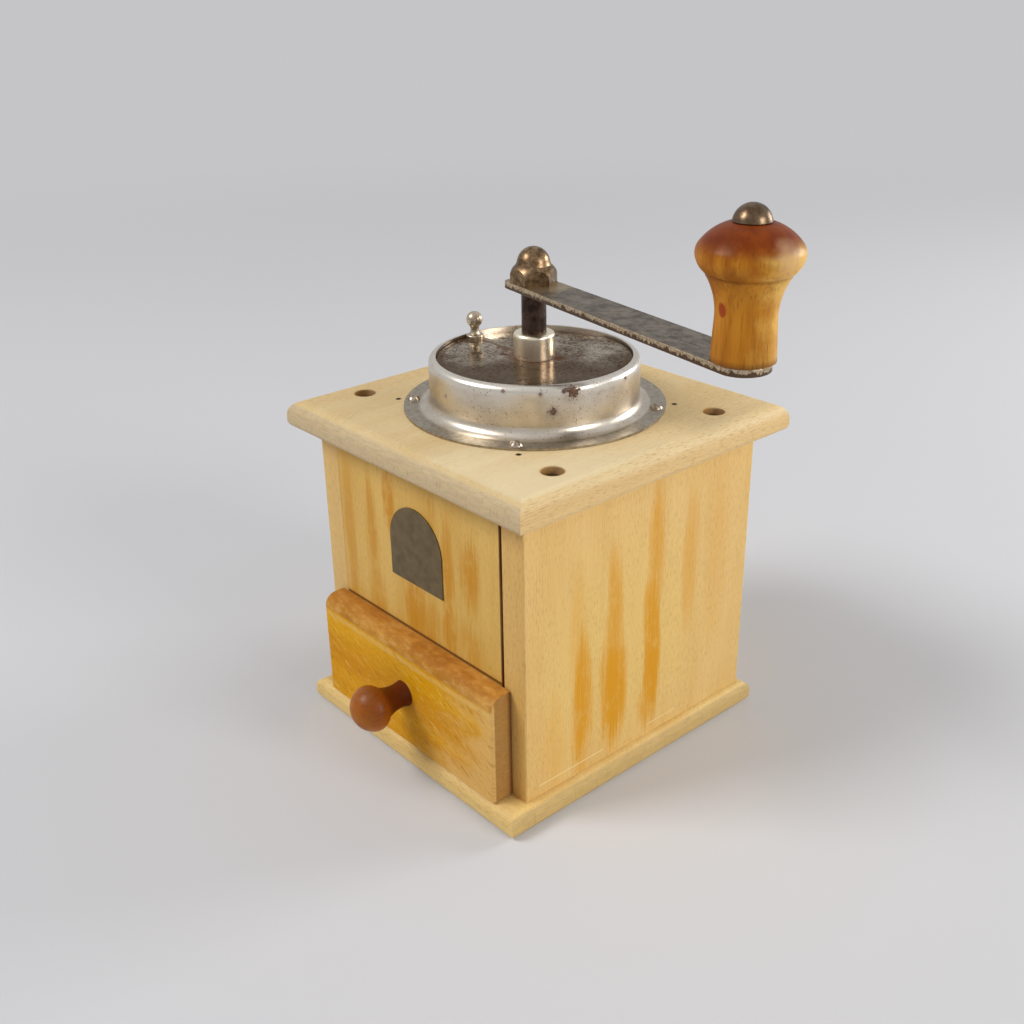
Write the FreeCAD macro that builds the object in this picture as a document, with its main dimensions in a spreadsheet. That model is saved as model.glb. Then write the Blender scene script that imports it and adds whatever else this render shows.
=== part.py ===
import FreeCAD, Part
import math
import os
import Sketcher

# A box coffee mill with a hand crank.  The shaft axis is the Z axis, the underside of the
# base board is z = 0, and the drawer opens towards -Y.  All lengths are in millimetres.

doc = FreeCAD.newDocument("CoffeeMill")
vector = FreeCAD.Vector

VALUES = {
    # wooden case
    "case_half": 55.0,
    "panel_height": 104.5,
    "side_thick": 10.4,
    "front_thick": 8.0,
    "back_thick": 8.0,
    "seam": 0.7,
    "tight_seam": 0.1,
    "base_thick": 8.5,
    "base_lip": 3.8,
    "base_front_lip": 9.8,
    "base_round_top": 3.6,
    "base_round_low": 2.4,
    "top_thick": 10.0,
    "top_lip": 8.3,
    "top_round_high": 5.6,
    "top_round_low": 2.6,
    "panel_edge_round": 0.6,
    "bore_radius": 30.0,
    # label plate
    "badge_width": 28.6,
    "badge_height": 29.0,
    "badge_thick": 0.4,
    "badge_drop": 43.4,
    # wood screws
    "screw_y": 38.0,
    "screw_shank": 1.7,
    "screw_depth": 17.0,
    "screw_head": 3.4,
    "screw_head_height": 2.2,
    "sink_radius": 3.9,
    "sink_depth": 4.6,
    "old_hole_radius": 0.8,
    "old_hole_depth": 3.0,
    "old_hole_out": 2.8,
    "old_hole_one": -137.8,
    "old_hole_two": -48.3,
    "old_hole_three": 43.7,
    # bean housing
    "sheet": 0.8,
    "flange_width": 9.3,
    "wall_radius": 36.9,
    "wall_height": 18.1,
    "root_round": 3.6,
    "rim_round": 2.2,
    "hem_radius": 34.3,
    "flange_screw_out": 6.1,
    "flange_screw_one": -135.5,
    "flange_screw_two": -50.4,
    "flange_screw_three": 35.5,
    "flange_screw_four": 128.0,
    "pan_radius": 2.3,
    "pan_height": 1.6,
    "small_shank": 1.1,
    "small_depth": 8.0,
    # cover and shutter
    "cover_level": 15.4,
    "cover_thick": 0.7,
    "shutter_gap": 0.1,
    "shutter_thick": 0.8,
    "shutter_radius": 33.9,
    "port_inner": 12.0,
    "port_outer": 31.5,
    "port_start": 180.0,
    "port_sweep": 80.0,
    "window_start": 91.0,
    "window_sweep": 85.0,
    "lid_knob_ring": 30.7,
    "lid_knob_angle": 182.5,
    "lid_knob_foot": 3.1,
    "lid_knob_foot_height": 1.5,
    "lid_knob_neck": 1.9,
    "lid_knob_ball": 2.95,
    "lid_knob_height": 10.1,
    # bearing collar and upper bridge
    "collar_radius": 7.15,
    "collar_height": 8.8,
    "collar_round": 1.2,
    "sleeve_radius": 6.0,
    "running_gap": 0.06,
    "bridge_width": 17.0,
    "bridge_half": 35.0,
    "bridge_thick": 3.0,
    "bridge_screw_x": 32.4,
    "machine_shank": 1.5,
    "machine_head": 2.6,
    "machine_head_height": 1.8,
    # burr housing
    "seat_radius": 35.6,
    "seat_thick": 2.4,
    "seat_screw_ring": 32.6,
    "seat_screw_turn": 60.0,
    "funnel_gap": 0.4,
    "funnel_mouth": 26.8,
    "funnel_depth": 24.0,
    "barrel_radius": 21.5,
    "barrel_depth": 49.0,
    "throat_radius": 17.2,
    "leg_inner": 19.3,
    "leg_outer": 24.4,
    "leg_half_width": 5.0,
    "leg_overlap": 10.0,
    "leg_length": 10.0,
    # burrs
    "ring_radius": 19.0,
    "ring_height": 18.0,
    "ring_base": 16.0,
    "ring_land": 15.6,
    "ring_top": 14.2,
    "ring_mouth": 16.6,
    "ring_mouth_height": 3.0,
    "land_height": 3.0,
    "burr_gap": 0.4,
    "cone_top": 8.2,
    "cone_height": 18.0,
    "hub_height": 5.0,
    "flute_depth": 1.1,
    "flute_width": 1.6,
    "flute_count": 14,
    "burr_pin_radius": 1.0,
    # lower bridge and adjuster
    "lower_half": 24.4,
    "lower_thick": 4.0,
    "lower_width": 12.0,
    "boss_radius": 8.0,
    "boss_rise": 6.0,
    "boss_drop": 3.0,
    "thread_radius": 4.0,
    "adjust_head": 8.5,
    "adjust_head_height": 6.0,
    "adjust_head_gap": 1.4,
    "adjust_stud": 7.0,
    "ball_radius": 2.5,
    "ball_gap": 0.05,
    "cup_radius": 2.62,
    "cup_depth": 0.8,
    # crank
    "shaft_radius": 4.3,
    "arm_level": 163.5,
    "arm_thick": 2.5,
    "arm_turn": -9.4,
    "arm_tail": 9.0,
    "arm_tail_round": 3.0,
    "arm_half_inner": 7.3,
    "arm_half_outer": 8.0,
    "crank_radius": 104.5,
    "arm_edge_round": 0.35,
    "square_half": 3.0,
    "stub_radius": 2.9,
    "stub_length": 7.0,
    "nut_turn": 6.4,
    "nut_flat": 7.0,
    "nut_corner": 8.1,
    "nut_side": 3.0,
    "nut_shoulder_radius": 6.0,
    "nut_shoulder": 6.2,
    "nut_shoulder_round": 6.0,
    "nut_dome_start": 7.4,
    "nut_dome_radius": 5.6,
    "nut_height": 12.2,
    # handle
    "pin_radius": 3.0,
    "peen_radius": 4.4,
    "peen_height": 0.9,
    "dome_radius": 5.3,
    "dome_height": 4.7,
    "handle_gap": 0.3,
    "handle_foot": 9.05,
    "handle_waist": 8.45,
    "handle_waist_level": 12.5,
    "handle_flare": 21.0,
    "handle_neck": 11.5,
    "handle_neck_level": 23.6,
    "handle_bead": 11.75,
    "handle_bead_step": 0.6,
    "handle_under_round": 7.2,
    "handle_crown": 14.5,
    "handle_crown_level": 28.9,
    "handle_side_round": 4.5,
    "handle_brow": 13.4,
    "handle_brow_level": 32.2,
    "handle_top_round": 15.0,
    "handle_top": 5.9,
    "handle_height": 37.3,
    # drawer
    "drawer_play": 0.6,
    "drawer_lift": 0.3,
    "drawer_front_margin": 6.7,
    "drawer_front_thick": 8.4,
    "drawer_front_gap": 0.5,
    "drawer_front_level": 0.7,
    "drawer_front_height": 40.8,
    "drawer_brow": 4.8,
    "drawer_edge_round": 1.0,
    "drawer_opening": 37.0,
    "drawer_side_thick": 6.0,
    "drawer_side_height": 34.0,
    "drawer_length": 97.0,
    "drawer_bottom_thick": 3.0,
    "drawer_bottom_level": 2.0,
    "knob_level": 20.4,
    "knob_tenon": 3.5,
    "knob_tenon_depth": 6.0,
    "knob_foot": 4.9,
    "knob_neck_round": 13.0,
    "knob_neck": 6.2,
    "knob_neck_reach": 10.0,
    "knob_back_round": 5.2,
    "knob_head": 8.25,
    "knob_head_reach": 15.1,
    "knob_reach": 21.3,
    "knob_head_ease": 2.2,
}


class Size:
    """A size known both as a number and as an expression on the sheet."""

    def __init__(self, value, text):
        self.value = float(value)
        self.text = text

    def join(self, other, sign, result):
        text = other.text if isinstance(other, Size) else str(other)
        return Size(result, "(%s %s %s)" % (self.text, sign, text))

    def __add__(self, other):
        return self.join(other, "+", self.value + number(other))

    def __radd__(self, other):
        return self + other

    def __sub__(self, other):
        return self.join(other, "-", self.value - number(other))

    def __mul__(self, other):
        return self.join(other, "*", self.value * number(other))

    def __rmul__(self, other):
        return self * other

    def __truediv__(self, other):
        return self.join(other, "/", self.value / number(other))

    def __neg__(self):
        return Size(-self.value, "(0 - %s)" % self.text)


def number(size):
    return size.value if isinstance(size, Size) else float(size)


def cosine(angle):
    return Size(math.cos(math.radians(angle.value)), "cos(%s)" % angle.text)


def sine(angle):
    return Size(math.sin(math.radians(angle.value)), "sin(%s)" % angle.text)


def root(size):
    return Size(math.sqrt(size.value), "sqrt(%s)" % size.text)


def cap_radius(radius, height):
    """The radius of a domed cap of this base radius and height."""
    return (radius * radius + height * height) / (height * 2)


def bind(target, path, size):
    """Set one property from the sheet."""
    target.setExpression(path, size.text if isinstance(size, Size) else str(size))


def make_sheet():
    sheet = doc.addObject("Spreadsheet::Sheet", "sizes")
    for row, (name, value) in enumerate(VALUES.items(), start=1):
        sheet.set("A%d" % row, name)
        sheet.set("B%d" % row, str(value))
        sheet.setAlias("B%d" % row, name)
    doc.recompute()


class Sheet:
    """Gives each named size of the sheet as an attribute."""

    def __getattr__(self, name):
        return Size(VALUES[name], "sizes." + name)


make_sheet()
s = Sheet()

# Levels and places that several pieces share, all worked out from the sheet.
base_top = s.base_thick
panel_top = base_top + s.panel_height
board_top = panel_top + s.top_thick
opening_top = base_top + s.drawer_opening
panel_inner = s.case_half - s.side_thick
side_screw_x = s.case_half - s.side_thick / 2
cover_top = board_top + s.cover_level + s.cover_thick
shutter_base = cover_top + s.shutter_gap
shutter_top = shutter_base + s.shutter_thick
collar_base = shutter_top + s.shutter_gap
seat_top = board_top + s.seat_thick
bridge_top = seat_top + s.bridge_thick
burr_base = board_top - s.barrel_depth
leg_base = burr_base - s.leg_length
boss_top = leg_base + s.boss_rise
boss_base = leg_base - s.lower_thick - s.boss_drop
stud_top = boss_base - s.adjust_head_gap + s.adjust_stud
ball_level = stud_top - s.cup_depth + s.ball_radius + s.ball_gap
shaft_base = ball_level + s.ball_radius + s.ball_gap - s.cup_depth
shaft_bore = s.shaft_radius + s.running_gap
arm_top = s.arm_level + s.arm_thick
drawer_base = base_top + s.drawer_lift
drawer_face = s.case_half + s.drawer_front_gap + s.drawer_front_thick
flange_radius = s.wall_radius + s.flange_width
flange_screw_ring = s.wall_radius + s.flange_screw_out
old_hole_ring = flange_radius + s.old_hole_out
drawer_box_half = panel_inner - s.drawer_play
drawer_front_base = base_top + s.drawer_front_level

FLANGE_ANGLES = [s.flange_screw_one, s.flange_screw_two, s.flange_screw_three, s.flange_screw_four]
OLD_HOLE_ANGLES = [s.old_hole_one, s.old_hole_two, s.old_hole_three]
CASE_SCREWS = [(side_screw_x * i, s.screw_y * j) for i in (-1, 1) for j in (-1, 1)]
SEAT_SCREW_ANGLES = [s.seat_screw_turn * i + 180 * j for i in (-1, 1) for j in (0, 1)]


def ring_places(radius, angles):
    """Places on a circle about the shaft axis, one for each angle."""
    return [(radius * cosine(angle), radius * sine(angle)) for angle in angles]


def arc_between(start, end, radius, side):
    """The short arc from start to end, which bulges to its right for side = 1."""
    chord = end - start
    half = chord.Length / 2
    across = vector(chord.y, -chord.x, 0).normalize()
    centre = (start + end) * 0.5 - across * (side * math.sqrt(max(radius * radius - half * half, 0.0)))
    first, last = (start, end) if side == 1 else (end, start)
    angles = [math.atan2(point.y - centre.y, point.x - centre.x) for point in (first, last)]
    if angles[1] < angles[0]:
        angles[1] += 2 * math.pi
    return Part.ArcOfCircle(Part.Circle(centre, vector(0, 0, 1), radius), *angles)


class Piece:
    """One physical piece: a PartDesign body in its own named node."""

    def __init__(self, name, x=0, y=0, z=0, turn=None):
        self.body = doc.addObject("PartDesign::Body", name)
        self.body.Label = name
        bind(self.body, "Placement.Base.x", x)
        bind(self.body, "Placement.Base.y", y)
        bind(self.body, "Placement.Base.z", z)
        if turn is not None:
            bind(self.body, "Placement.Rotation.Angle", turn)

    def sketch(self, plane, offset=(0, 0, 0)):
        """An empty sketch on an origin plane; offset is along its own x, y and normal."""
        made = self.body.newObject("Sketcher::SketchObject", "Sketch")
        for support in self.body.Origin.OriginFeatures:
            if support.Role == plane:
                made.AttachmentSupport = [(support, "")]
        made.MapMode = "FlatFace"
        for axis, size in zip("xyz", offset):
            bind(made, "AttachmentOffset.Base." + axis, size)
        return made

    def outline(self, plane, corners, offset=(0, 0, 0)):
        """A closed outline.  A corner is (x, y), or (x, y, radius, side) before an arc."""
        made = self.sketch(plane, offset)
        add_outline(made, corners)
        return made

    def disc(self, plane, radius, offset=(0, 0, 0)):
        made = self.sketch(plane, offset)
        add_circle(made, radius)
        return made

    def rectangle(self, low, high, level=0):
        """A rectangle on the XY plane between two corners."""
        corners = [(low[0], low[1]), (high[0], low[1]), (high[0], high[1]), (low[0], high[1])]
        return self.outline("XY_Plane", corners, (0, 0, level))

    def feature(self, kind, sketch, **settings):
        made = self.body.newObject("PartDesign::" + kind, kind)
        made.Profile = sketch
        for name, value in settings.items():
            setattr(made, name, value)
        sketch.Visibility = False
        return made

    def pad(self, sketch, length, reverse=False, middle=False):
        made = self.feature("Pad", sketch, Reversed=reverse, Midplane=middle)
        bind(made, "Length", length)
        return made

    def pocket(self, sketch, length, reverse=False, middle=False):
        made = self.feature("Pocket", sketch, Reversed=reverse, Midplane=middle)
        bind(made, "Length", length)
        return made

    def turned(self, corners, place=(0, 0, 0)):
        """A solid turned about a vertical axis; corners are (radius, height)."""
        sketch = self.outline("XZ_Plane", corners, upright(place))
        return self.feature("Revolution", sketch, ReferenceAxis=(sketch, ["V_Axis"]), Angle=360)

    def bored(self, corners, place=(0, 0, 0)):
        """A turned cut about a vertical axis."""
        sketch = self.outline("XZ_Plane", corners, upright(place))
        return self.feature("Groove", sketch, ReferenceAxis=(sketch, ["V_Axis"]), Angle=360)

    def drill(self, radius, low, high, place):
        """A round hole between two heights at one place."""
        x, y = place
        return self.bored([(0, low), (radius, low), (radius, high), (0, high)], (x, y, 0))

    def repeat(self, feature, count):
        """Repeat one feature evenly about the Z axis."""
        made = self.body.newObject("PartDesign::PolarPattern", "Pattern")
        made.Originals = [feature]
        for axis in self.body.Origin.OriginFeatures:
            if axis.Role == "Z_Axis":
                made.Axis = (axis, [""])
        made.Angle = 360
        bind(made, "Occurrences", count)
        self.body.Tip = made
        return made

    def ease(self, radius, wanted, kind="Fillet"):
        """Round or bevel the edges of the shape so far that wanted(edge) picks."""
        doc.recompute()
        base = self.body.Tip
        names = []
        for index, edge in enumerate(base.Shape.Edges, start=1):
            if wanted(edge):
                names.append("Edge%d" % index)
        made = self.body.newObject("PartDesign::" + kind, kind)
        made.Base = (base, names)
        bind(made, "Radius" if kind == "Fillet" else "Size", radius)
        return made


def upright(place):
    """An (x, y, z) place as a sketch offset on the XZ plane, whose normal is -Y."""
    x, y, z = place
    return (x, z, -y if isinstance(y, Size) else -1 * y)


def add_outline(sketch, corners):
    """Closed lines and arcs, with every corner and radius bound to the sheet."""
    points = [vector(number(corner[0]), number(corner[1]), 0) for corner in corners]
    starts = []
    ends = []
    for index, corner in enumerate(corners):
        start = points[index]
        end = points[(index + 1) % len(points)]
        forward = True
        if len(corner) == 2:
            edge = Part.LineSegment(start, end)
        else:
            edge = arc_between(start, end, number(corner[2]), corner[3])
            forward = corner[3] == 1
        made = sketch.addGeometry(edge, False)
        starts.append((made, 1 if forward else 2))
        ends.append((made, 2 if forward else 1))
    for index, corner in enumerate(corners):
        following = (index + 1) % len(corners)
        sketch.addConstraint(Sketcher.Constraint("Coincident", *ends[index], *starts[following]))
        for kind, size in (("DistanceX", corner[0]), ("DistanceY", corner[1])):
            rule = sketch.addConstraint(Sketcher.Constraint(kind, *starts[index], number(size)))
            bind(sketch, "Constraints[%d]" % rule, size)
        if len(corner) == 4:
            made = starts[index][0]
            rule = sketch.addConstraint(Sketcher.Constraint("Radius", made, number(corner[2])))
            bind(sketch, "Constraints[%d]" % rule, corner[2])


def add_circle(sketch, radius):
    """A circle about the sketch's own origin."""
    made = sketch.addGeometry(Part.Circle(vector(0, 0, 0), vector(0, 0, 1), number(radius)), False)
    sketch.addConstraint(Sketcher.Constraint("Coincident", made, 3, -1, 1))
    rule = sketch.addConstraint(Sketcher.Constraint("Radius", made, number(radius)))
    bind(sketch, "Constraints[%d]" % rule, radius)


def is_level(edge, height):
    """Whether the whole edge lies at one height of the body."""
    box = edge.BoundBox
    return abs(box.ZMin - height) < 1e-4 and abs(box.ZMax - height) < 1e-4


def is_straight_level(edge, height):
    return is_level(edge, height) and isinstance(edge.Curve, Part.Line)


def is_circle(edge, radius):
    """Whether the edge is a circle of this radius; a point-like edge at a pole is not."""
    if edge.Degenerated:
        return False
    return isinstance(edge.Curve, Part.Circle) and abs(edge.Curve.Radius - radius) < 1e-4


def is_upright(edge):
    box = edge.BoundBox
    return box.XLength < 1e-4 and box.YLength < 1e-4 and box.ZLength > 1


def is_ring(edge, radius, height):
    """Whether the edge is a full circle of this radius at this height about the Z axis."""
    return is_circle(edge, radius) and is_level(edge, height)


# Wooden case


def base_board():
    piece = Piece("base_board")
    low = (-(s.case_half + s.base_lip), -(s.case_half + s.base_front_lip))
    high = (s.case_half + s.base_lip, s.case_half + s.base_lip)
    piece.pad(piece.rectangle(low, high), s.base_thick)
    thick = VALUES["base_thick"]
    piece.ease(s.base_round_top, lambda edge: is_straight_level(edge, thick))
    piece.ease(s.base_round_low, lambda edge: is_straight_level(edge, 0))
    for x, y in CASE_SCREWS:
        piece.bored(countersink(s.base_thick), (x, y, 0))


def countersink(depth):
    """The hole for a flat-head screw driven upwards from z = 0."""
    return [(0, 0), (s.screw_head, 0), (s.screw_shank, s.screw_head_height),
            (s.screw_shank, depth), (0, depth)]


def top_board():
    piece = Piece("top_board", z=panel_top)
    half = s.case_half + s.top_lip
    piece.pad(piece.rectangle((-half, -half), (half, half)), s.top_thick)
    thick = VALUES["top_thick"]
    piece.ease(s.top_round_high, lambda edge: is_straight_level(edge, thick))
    piece.ease(s.top_round_low, lambda edge: is_straight_level(edge, 0))
    piece.drill(s.bore_radius, 0, s.top_thick, (0, 0))
    sink_floor = s.top_thick - s.sink_depth
    for place in CASE_SCREWS:
        piece.drill(s.sink_radius, sink_floor, s.top_thick, place)
        piece.drill(s.screw_shank, 0, sink_floor, place)
    for place in ring_places(old_hole_ring, OLD_HOLE_ANGLES):
        piece.drill(s.old_hole_radius, s.top_thick - s.old_hole_depth, s.top_thick, place)
    for place in ring_places(flange_screw_ring, FLANGE_ANGLES):
        piece.drill(s.small_shank, s.top_thick - s.small_depth, s.top_thick, place)
    for place in ring_places(s.seat_screw_ring, SEAT_SCREW_ANGLES):
        piece.drill(s.small_shank, s.top_thick - s.small_depth, s.top_thick, place)


def side_panel(name, side):
    """A side panel, full depth, that carries the case screws in its end grain."""
    piece = Piece(name, x=side_screw_x * side, z=base_top)
    half = s.side_thick / 2
    piece.pad(piece.rectangle((-half, -s.case_half), (half, s.case_half)), s.panel_height)
    piece.ease(s.panel_edge_round, is_upright)
    for y in (-s.screw_y, s.screw_y):
        piece.drill(s.screw_shank, 0, s.screw_depth, (0, y))
        piece.drill(s.screw_shank, s.panel_height - s.screw_depth, s.panel_height, (0, y))


def front_panel():
    piece = Piece("front_panel", y=-s.case_half, z=opening_top)
    low = (-(panel_inner - s.tight_seam), 0)
    piece.pad(piece.rectangle(low, (panel_inner - s.seam, s.front_thick)), panel_top - opening_top)


def back_panel():
    piece = Piece("back_panel", y=s.case_half - s.back_thick, z=base_top)
    half = panel_inner - s.tight_seam
    piece.pad(piece.rectangle((-half, 0), (half, s.back_thick)), s.panel_height)


def badge_plate():
    """A blank label plate with a half-round top."""
    piece = Piece("badge_plate", y=-s.case_half, z=panel_top - s.badge_drop)
    half = s.badge_width / 2
    shoulder = s.badge_height - half
    crown = (0, s.badge_height, half, 1)
    corners = [(-half, 0), (half, 0), (half, shoulder, half, 1), crown, (-half, shoulder)]
    piece.pad(piece.outline("XZ_Plane", corners), s.badge_thick)


def wood_screw(piece, place, head_level, point_level, direction):
    """A slotless wood screw: its head lies against head_level, and it points along direction."""
    tip = s.screw_shank
    head_face = head_level - s.screw_head_height * direction
    corners = [(0, head_face), (s.screw_head, head_face), (s.screw_shank, head_level),
               (s.screw_shank, point_level - tip * direction), (0, point_level)]
    return piece.turned(corners, (place[0], place[1], 0))


def top_board_screws():
    piece = Piece("top_board_screws", z=panel_top)
    seat = s.top_thick - s.sink_depth
    for place in CASE_SCREWS:
        wood_screw(piece, place, seat, -s.screw_depth, -1)


def base_board_screws():
    piece = Piece("base_board_screws")
    for place in CASE_SCREWS:
        wood_screw(piece, place, s.screw_head_height, s.base_thick + s.screw_depth, 1)


# Bean housing, its cover and the shutter


def bean_housing():
    """The sheet-metal hopper wall with its screwed flange and rolled rim."""
    piece = Piece("bean_housing", z=board_top)
    inner = s.wall_radius - s.sheet
    cover = s.cover_level + s.cover_thick
    corners = [
        (inner, 0),
        (flange_radius, 0),
        (flange_radius, s.sheet),
        (s.wall_radius + s.root_round, s.sheet, s.root_round, -1),
        (s.wall_radius, s.sheet + s.root_round),
        (s.wall_radius, s.wall_height - s.rim_round, s.rim_round, 1),
        (s.wall_radius - s.rim_round, s.wall_height),
        (s.hem_radius, s.wall_height),
        (s.hem_radius, cover),
        (inner, cover),
    ]
    piece.turned(corners)
    for place in ring_places(flange_screw_ring, FLANGE_ANGLES):
        piece.drill(s.small_shank, 0, s.sheet, place)


def pan_screws(name, level, places, shank, head, head_height, depth):
    """Round-head screws driven downwards, all in one node."""
    piece = Piece(name, z=level)
    crown = cap_radius(head, head_height)
    corners = [(0, -depth), (shank, -depth + shank), (shank, 0), (head, 0, crown, 1), (0, head_height)]
    for x, y in places:
        piece.turned(corners, (x, y, 0))


def sector(inner, outer, start, sweep):
    """A ring sector about the Z axis, as an outline on the XY plane."""
    end = start + sweep
    middle = start + sweep / 2
    return [
        (inner * cosine(start), inner * sine(start)),
        (outer * cosine(start), outer * sine(start), outer, 1),
        (outer * cosine(middle), outer * sine(middle), outer, 1),
        (outer * cosine(end), outer * sine(end)),
        (inner * cosine(end), inner * sine(end), inner, -1),
        (inner * cosine(middle), inner * sine(middle), inner, -1),
    ]


def hopper_cover():
    """The fixed cover with its filling port, crimped under the housing's hem."""
    piece = Piece("hopper_cover", z=board_top + s.cover_level)
    outer = s.wall_radius - s.sheet
    inner = s.sleeve_radius
    piece.turned([(inner, 0), (outer, 0), (outer, s.cover_thick), (inner, s.cover_thick)])
    port = piece.outline("XY_Plane", sector(s.port_inner, s.port_outer, s.port_start, s.port_sweep))
    piece.pocket(port, s.cover_thick, reverse=True)


def lid_shutter():
    """The turning disc, whose window uncovers the port."""
    piece = Piece("lid_shutter", z=shutter_base)
    inner = s.sleeve_radius + s.running_gap
    outer = s.shutter_radius
    piece.turned([(inner, 0), (outer, 0), (outer, s.shutter_thick), (inner, s.shutter_thick)])
    reach = s.shutter_radius + s.sheet
    window = piece.outline("XY_Plane", sector(s.port_inner, reach, s.window_start, s.window_sweep))
    piece.pocket(window, s.shutter_thick, reverse=True)


def lid_knob():
    x, y = ring_places(s.lid_knob_ring, [s.lid_knob_angle])[0]
    piece = Piece("lid_knob", x=x, y=y, z=shutter_top)
    ball = s.lid_knob_ball
    neck = s.lid_knob_neck
    neck_top = s.lid_knob_height - ball - root(ball * ball - neck * neck)
    corners = [
        (0, 0),
        (s.lid_knob_foot, 0),
        (s.lid_knob_foot, s.lid_knob_foot_height),
        (neck, s.lid_knob_foot_height + s.sheet / 2, ball, -1),
        (neck, neck_top, ball, 1),
        (0, s.lid_knob_height),
    ]
    piece.turned(corners)
    rim = (VALUES["lid_knob_foot"], VALUES["lid_knob_foot_height"])
    piece.ease(s.sheet / 2, lambda edge: is_ring(edge, *rim))


def bearing_collar():
    """The shaft's upper bearing: a sleeve through cover and bridge with a collar on top."""
    piece = Piece("bearing_collar", z=seat_top)
    step = collar_base - seat_top
    top = step + s.collar_height
    corners = [
        (shaft_bore, 0),
        (s.sleeve_radius, 0),
        (s.sleeve_radius, step),
        (s.collar_radius, step),
        (s.collar_radius, top - s.collar_round, s.collar_round, 1),
        (s.collar_radius - s.collar_round, top),
        (shaft_bore, top),
    ]
    piece.turned(corners)


def bridge_bar(piece, half, width, thick, level=0):
    """A flat bar with round ends that lies across the mill along X."""
    end = width / 2
    straight = half - end
    corners = [(-straight, -end), (straight, -end, end, 1), (half, 0, end, 1), (straight, end),
               (-straight, end, end, 1), (-half, 0, end, 1)]
    piece.pad(piece.outline("XY_Plane", corners, (0, 0, level)), thick)


def upper_bridge():
    piece = Piece("upper_bridge", z=seat_top)
    bridge_bar(piece, s.bridge_half, s.bridge_width, s.bridge_thick)
    piece.drill(s.sleeve_radius, 0, s.bridge_thick, (0, 0))
    for x in (-s.bridge_screw_x, s.bridge_screw_x):
        piece.drill(s.machine_shank, 0, s.bridge_thick, (x, 0))


def upper_bridge_screws():
    places = [(-s.bridge_screw_x, 0), (s.bridge_screw_x, 0)]
    depth = s.bridge_thick + s.seat_thick
    pan_screws("upper_bridge_screws", bridge_top, places, s.machine_shank, s.machine_head,
               s.machine_head_height, depth)


# Grinding works


def burr_housing():
    """The cast funnel that hangs in the top board and holds the grinding ring."""
    piece = Piece("burr_housing", z=board_top)
    neck = s.bore_radius - s.funnel_gap
    ring_top_level = s.ring_height - s.barrel_depth
    corners = [
        (s.seat_radius, 0),
        (s.seat_radius, s.seat_thick),
        (s.funnel_mouth, s.seat_thick),
        (s.funnel_mouth, -1),
        (s.throat_radius, -s.funnel_depth - 3),
        (s.throat_radius, ring_top_level),
        (s.ring_radius, ring_top_level),
        (s.ring_radius, -s.barrel_depth),
        (s.barrel_radius, -s.barrel_depth),
        (s.barrel_radius, -s.funnel_depth),
        (neck, -2),
        (neck, 0),
    ]
    piece.turned(corners)
    length = s.leg_length + s.leg_overlap
    for side in (-1, 1):
        low = (s.leg_inner * side, -s.leg_half_width)
        high = (s.leg_outer * side, s.leg_half_width)
        piece.pad(piece.rectangle(low, high, -s.barrel_depth - s.leg_length), length)
        base = -s.barrel_depth - s.leg_length
        piece.drill(s.machine_shank, base, base + s.leg_length, (leg_screw_x() * side, 0))
        piece.drill(s.machine_shank, 0, s.seat_thick, (s.bridge_screw_x * side, 0))
    for place in ring_places(s.seat_screw_ring, SEAT_SCREW_ANGLES):
        piece.drill(s.small_shank, 0, s.seat_thick, place)


def leg_screw_x():
    return (s.leg_inner + s.leg_outer) / 2


def outer_burr():
    """The fixed grinding ring, fluted inside, pressed into the barrel."""
    piece = Piece("outer_burr", z=burr_base)
    corners = [
        (s.ring_base, 0),
        (s.ring_radius, 0),
        (s.ring_radius, s.ring_height),
        (s.ring_mouth, s.ring_height),
        (s.ring_top, s.ring_height - s.ring_mouth_height),
        (s.ring_land, s.land_height),
    ]
    piece.turned(corners)
    doc.recompute()
    reach = s.ring_base + s.flute_depth
    half = s.flute_width / 2
    start = s.ring_top - s.flute_depth
    corners = [(start, -half), (reach - half, -half), (reach, 0), (reach - half, half), (start, half)]
    notch = piece.outline("XY_Plane", corners, (0, 0, s.land_height))
    cut = piece.pocket(notch, s.ring_height - s.land_height, reverse=True)
    piece.repeat(cut, s.flute_count)


def inner_burr():
    """The turning cone, with flutes that follow its side."""
    piece = Piece("inner_burr", z=burr_base, turn=s.arm_turn)
    foot = s.ring_base - s.burr_gap
    land = s.ring_land - s.burr_gap
    corners = [
        (s.shaft_radius, 0),
        (foot, 0),
        (land, s.land_height),
        (s.cone_top, s.cone_height),
        (s.cone_top, s.cone_height + s.hub_height),
        (s.shaft_radius, s.cone_height + s.hub_height),
    ]
    piece.turned(corners)
    reach = s.ring_base
    corners = [(land - s.flute_depth, s.land_height), (reach, s.land_height),
               (reach, s.cone_height), (s.cone_top - s.flute_depth, s.cone_height)]
    flute = piece.outline("XZ_Plane", corners)
    cut = piece.pocket(flute, s.flute_width, middle=True)
    piece.repeat(cut, s.flute_count)
    pin_hole = piece.disc("YZ_Plane", s.burr_pin_radius, (0, s.cone_height + s.hub_height / 2, 0))
    piece.pocket(pin_hole, s.cone_top * 2 + 1, middle=True)


def burr_pin():
    """The cross pin that keys the cone to the shaft."""
    piece = Piece("burr_pin", z=burr_base + s.cone_height + s.hub_height / 2, turn=s.arm_turn)
    piece.pad(piece.disc("YZ_Plane", s.burr_pin_radius), s.cone_top * 2, middle=True)


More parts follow.
